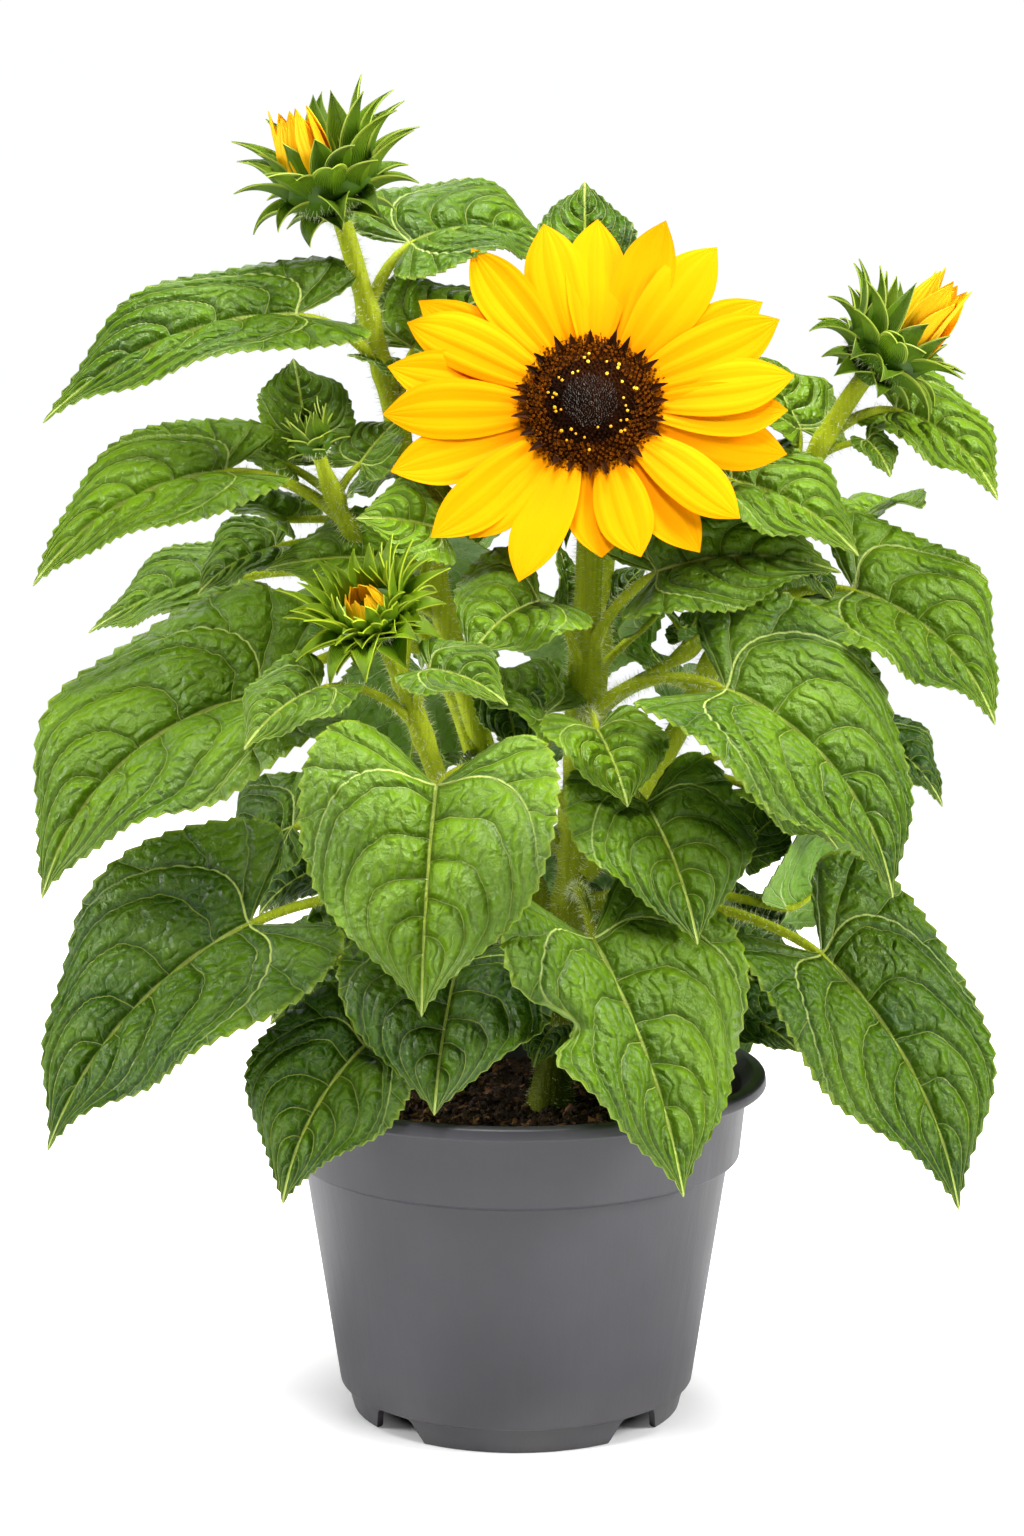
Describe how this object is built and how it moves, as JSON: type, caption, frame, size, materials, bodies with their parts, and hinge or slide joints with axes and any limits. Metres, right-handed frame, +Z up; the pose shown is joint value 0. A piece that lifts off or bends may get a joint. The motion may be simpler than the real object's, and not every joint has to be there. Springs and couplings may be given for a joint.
{
  "type": "potted sunflower plant",
  "caption": "Branching sunflower in a round plastic nursery pot, with an open flower head, closed buds and broad heart-shaped leaves.",
  "frame": {"origin": "centre of the pot's underside, on the surface it stands on", "axes": "+Z up along the stems, -Y towards the side that the open flower head faces, +X to the right as seen from that side"},
  "size_m": [0.3618, 0.2482, 0.4879],
  "materials": {
    "pot_plastic": "grey moulded nursery-pot plastic with a satin sheen and faint scuffs",
    "potting_soil": "dark crumbly moist potting soil with a few bark flecks",
    "stem": "olive-green ridged stem with fine pale bristly hairs",
    "leaf": "mid-green puckered leaf with pale yellow-green veins and a soft sheen, paler beneath",
    "flower": "bright yellow rays with orange bases round a dark red-brown disc with pollen-tipped florets",
    "bud": "overlapping pointed green bracts with pale hairy edges round orange-yellow folded petals"
  },
  "bodies": {
    "root": {"flower_head": "flower", "front_branch": "stem", "front_branch_leaf_1": "leaf", "front_branch_leaf_2": "leaf", "front_branch_leaf_3": "leaf", "front_branch_leaf_4": "leaf", "front_bud": "bud", "left_branch": "stem", "left_branch_leaf_1": "leaf", "left_branch_leaf_2": "leaf", "left_branch_leaf_3": "leaf", "left_branch_leaf_4": "leaf", "left_branch_leaf_5": "leaf", "left_branch_leaf_6": "leaf", "left_branch_leaf_7": "leaf", "left_bud": "bud", "left_rear_shoot": "leaf", "low_left_shoot": "leaf", "low_rear_shoot": "leaf", "low_right_shoot": "leaf", "main_stem": "stem", "main_stem_leaf_1": "leaf", "main_stem_leaf_10": "leaf", "main_stem_leaf_11": "leaf", "main_stem_leaf_12": "leaf", "main_stem_leaf_13": "leaf", "main_stem_leaf_14": "leaf", "main_stem_leaf_15": "leaf", "main_stem_leaf_2": "leaf", "main_stem_leaf_3": "leaf", "main_stem_leaf_4": "leaf", "main_stem_leaf_5": "leaf", "main_stem_leaf_6": "leaf", "main_stem_leaf_7": "leaf", "main_stem_leaf_8": "leaf", "main_stem_leaf_9": "leaf", "pot": "pot_plastic", "rear_branch": "stem", "rear_branch_leaf_1": "leaf", "rear_branch_leaf_2": "leaf", "rear_branch_leaf_3": "leaf", "rear_branch_leaf_4": "leaf", "rear_branch_leaf_5": "leaf", "right_branch": "stem", "right_branch_leaf_1": "leaf", "right_branch_leaf_2": "leaf", "right_branch_leaf_3": "leaf", "right_branch_leaf_4": "leaf", "right_branch_leaf_5": "leaf", "right_branch_leaf_6": "leaf", "right_bud": "bud", "root_ball": "potting_soil", "small_branch": "stem", "small_branch_leaf_1": "leaf", "small_branch_leaf_2": "leaf", "small_branch_leaf_3": "leaf", "small_branch_leaf_4": "leaf", "small_branch_leaf_5": "leaf", "small_bud": "bud", "tip_shoot": "leaf"}
  },
  "joints": []
}
